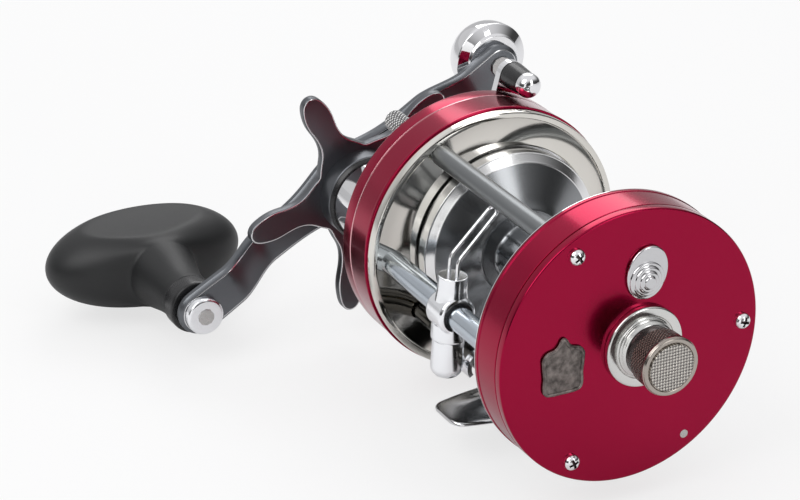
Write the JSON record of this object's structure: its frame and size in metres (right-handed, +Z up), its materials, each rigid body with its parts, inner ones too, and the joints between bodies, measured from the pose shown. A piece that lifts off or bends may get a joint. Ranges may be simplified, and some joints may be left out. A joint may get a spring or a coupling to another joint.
{
  "type": "round baitcasting fishing reel",
  "caption": "Round baitcasting reel: side covers on a pillar frame, level wind, clicker, star drag, free-spool lever and a cranked power handle",
  "frame": {"origin": "on the underside of the reel foot, below the spool axis and midway between the frame rings", "axes": "+X along the spool axis out of the palm side, -Y to the front where the line leaves, +Z up from the rod"},
  "size_m": [0.1701, 0.1188, 0.0751],
  "materials": {
    "frame_ring_palm": "polished dark plate",
    "frame_ring_handle": "polished dark plate",
    "pillar_top": "bright chrome",
    "pillar_rear": "bright chrome",
    "guide_bar": "bright chrome",
    "foot_bridge": "bright chrome",
    "reel_foot": "bright chrome",
    "foot_rivet_front": "brushed",
    "foot_rivet_rear": "brushed",
    "cover_palm": "red anodised, satin gloss",
    "cover_screw_1": "bright chrome",
    "cover_screw_2": "bright chrome",
    "cover_screw_3": "bright chrome",
    "index_pin": "brushed",
    "side_plaque": "dark bronzed steel",
    "boss_flange": "bright chrome",
    "palm_bearing": "brushed",
    "handle_bearing": "brushed",
    "levelwind_tube": "bright chrome",
    "cover_handle": "red anodised, satin gloss",
    "thumb_screw_1": "brushed",
    "thumb_screw_2": "brushed",
    "thumb_screw_3": "brushed",
    "gear_bridge": "brushed",
    "handle_sleeve": "bright chrome",
    "main_shaft": "brushed",
    "worm_drive_gear": "machined",
    "ratchet": "brushed",
    "main_gear": "machined",
    "drag_washer_fibre": "fibre",
    "drag_washer_steel": "brushed",
    "pressure_plate": "brushed",
    "seal_collar": "black satin",
    "handle_arm": "gunmetal anodised",
    "handle_nut": "bright chrome",
    "counterweight": "bright chrome",
    "counterweight_rivet": "bright chrome",
    "knob_disc": "bright chrome",
    "knob_spindle": "brushed",
    "knob_collar": "black satin",
    "star_drag": "gunmetal anodised",
    "power_knob": "matt black rubber",
    "spool": "satin turned",
    "spool_shaft": "brushed",
    "pinion": "machined",
    "yoke": "brushed",
    "release_lever": "black satin",
    "lever_sleeve": "black satin",
    "lever_cap": "bright chrome",
    "worm": "brushed",
    "worm_cog": "machined",
    "carriage_body": "bright chrome",
    "line_guide_wire": "bright chrome",
    "pawl_cap": "bright chrome",
    "worm_pawl": "machined",
    "tension_knob": "dark bronzed steel",
    "knob_end_plate": "polished dark plate",
    "clicker_button": "bright chrome",
    "clicker_pawl": "brushed",
    "dog": "brushed"
  },
  "bodies": {
    "frame": {"frame_ring_palm": "frame_ring_palm", "frame_ring_handle": "frame_ring_handle", "pillar_top": "pillar_top", "pillar_rear": "pillar_rear", "guide_bar": "guide_bar", "foot_bridge": "foot_bridge", "reel_foot": "reel_foot", "foot_rivet_front": "foot_rivet_front", "foot_rivet_rear": "foot_rivet_rear", "cover_palm": "cover_palm", "cover_screw_1": "cover_screw_1", "cover_screw_2": "cover_screw_2", "cover_screw_3": "cover_screw_3", "index_pin": "index_pin", "side_plaque": "side_plaque", "boss_flange": "boss_flange", "palm_bearing": "palm_bearing", "handle_bearing": "handle_bearing", "levelwind_tube": "levelwind_tube", "cover_handle": "cover_handle", "thumb_screw_1": "thumb_screw_1", "thumb_screw_2": "thumb_screw_2", "thumb_screw_3": "thumb_screw_3", "gear_bridge": "gear_bridge", "handle_sleeve": "handle_sleeve"},
    "crank": {"main_shaft": "main_shaft", "worm_drive_gear": "worm_drive_gear", "ratchet": "ratchet", "main_gear": "main_gear", "drag_washer_fibre": "drag_washer_fibre", "drag_washer_steel": "drag_washer_steel", "pressure_plate": "pressure_plate", "seal_collar": "seal_collar", "handle_arm": "handle_arm", "handle_nut": "handle_nut", "counterweight": "counterweight", "counterweight_rivet": "counterweight_rivet", "knob_disc": "knob_disc", "knob_spindle": "knob_spindle", "knob_collar": "knob_collar"},
    "star": {"star_drag": "star_drag"},
    "knob": {"power_knob": "power_knob"},
    "spool": {"spool": "spool", "spool_shaft": "spool_shaft"},
    "pinion": {"pinion": "pinion"},
    "yoke": {"yoke": "yoke"},
    "lever": {"release_lever": "release_lever", "lever_sleeve": "lever_sleeve", "lever_cap": "lever_cap"},
    "worm": {"worm": "worm", "worm_cog": "worm_cog"},
    "carriage": {"carriage_body": "carriage_body", "line_guide_wire": "line_guide_wire", "pawl_cap": "pawl_cap"},
    "pawl": {"worm_pawl": "worm_pawl"},
    "tension": {"tension_knob": "tension_knob", "knob_end_plate": "knob_end_plate"},
    "clicker": {"clicker_button": "clicker_button", "clicker_pawl": "clicker_pawl"},
    "dog": {"dog": "dog"}
  },
  "joints": [
    {"name": "crank_turn", "type": "hinge", "parent": "frame", "child": "crank", "pos_m": [0, -0.018, 0.0286], "axis": [1, 0, 0], "continuous": true},
    {"name": "star_turn", "type": "hinge", "parent": "crank", "child": "star", "pos_m": [0, -0.018, 0.0286], "axis": [1, 0, 0], "range_deg": [-180, 360]},
    {"name": "knob_spin", "type": "hinge", "parent": "crank", "child": "knob", "pos_m": [0, -0.06096, 0.0038], "axis": [1, 0, 0], "continuous": true},
    {"name": "spool_spin", "type": "hinge", "parent": "frame", "child": "spool", "pos_m": [0, 0, 0.0286], "axis": [1, 0, 0], "continuous": true},
    {"name": "worm_turn", "type": "hinge", "parent": "frame", "child": "worm", "pos_m": [0, -0.02975, 0.0286], "axis": [1, 0, 0], "continuous": true},
    {"name": "carriage_traverse", "type": "slide", "parent": "frame", "child": "carriage", "axis": [1, 0, 0], "range_m": [-0.021, 0.0153]},
    {"name": "pawl_swing", "type": "hinge", "parent": "carriage", "child": "pawl", "pos_m": [0.00285, -0.02975, 0.0286], "axis": [0, 0.0698, 0.9976], "range_deg": [-15, 15]},
    {"name": "tension_turn", "type": "hinge", "parent": "frame", "child": "tension", "pos_m": [0, 0, 0.0286], "axis": [1, 0, 0], "range_deg": [-360, 360]},
    {"name": "clicker_slide", "type": "slide", "parent": "frame", "child": "clicker", "axis": [0, 0.1736, 0.9848], "range_m": [0, 0.0035]},
    {"name": "lever_swing", "type": "hinge", "parent": "frame", "child": "lever", "pos_m": [0, 0.0078, 0.0507], "axis": [-1, 0, 0], "range_deg": [0, 24]},
    {"name": "yoke_lift", "type": "slide", "parent": "frame", "child": "yoke", "axis": [-1, 0, 0], "range_m": [0, 0.0015]},
    {"name": "pinion_spin", "type": "hinge", "parent": "yoke", "child": "pinion", "pos_m": [0, 0, 0.0286], "axis": [1, 0, 0], "continuous": true},
    {"name": "dog_swing", "type": "hinge", "parent": "frame", "child": "dog", "pos_m": [0, -0.0115, 0.01734], "axis": [1, 0, 0], "range_deg": [0, 8]}
  ],
  "couplings": [
    {"joint": "spool_spin", "follows": "crank_turn", "ratio": -4.1429},
    {"joint": "pinion_spin", "follows": "crank_turn", "ratio": -4.1429},
    {"joint": "worm_turn", "follows": "crank_turn", "ratio": -2.3571},
    {"joint": "yoke_lift", "follows": "lever_swing", "m_per_rad": 0.00358}
  ]
}
